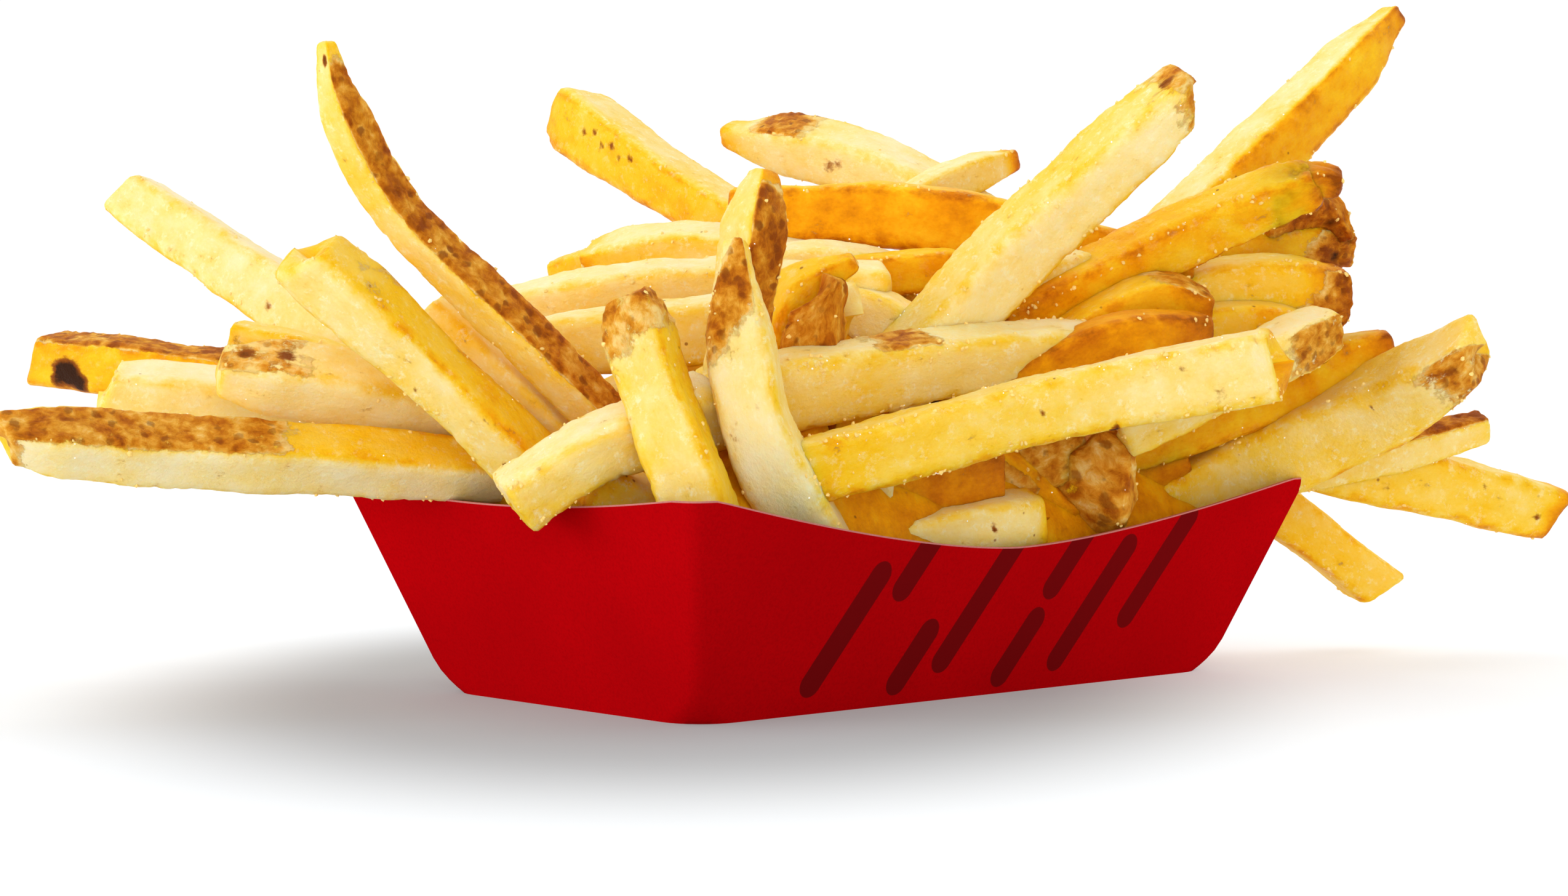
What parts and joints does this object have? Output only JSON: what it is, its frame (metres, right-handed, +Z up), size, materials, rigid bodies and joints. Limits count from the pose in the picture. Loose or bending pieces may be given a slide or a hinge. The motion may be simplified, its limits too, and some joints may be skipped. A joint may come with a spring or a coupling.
{
  "type": "french fries in a carton",
  "caption": "Open flared paperboard tray heaped with thick-cut skin-on french fries that fan out over its rims.",
  "frame": {"origin": "middle of the underside of the carton's base, on the surface it stands on", "axes": "+Z up; X along the carton's length, Y across it; the heap fans out across the -X -Y corner"},
  "size_m": [0.243, 0.1915, 0.1106],
  "materials": {
    "red_board": "matte printed red board",
    "fried_potato": "fried potato, dry with a slight oil sheen"
  },
  "bodies": {
    "root": {"carton": "red_board", "fries_heap": "fried_potato"}
  },
  "joints": []
}
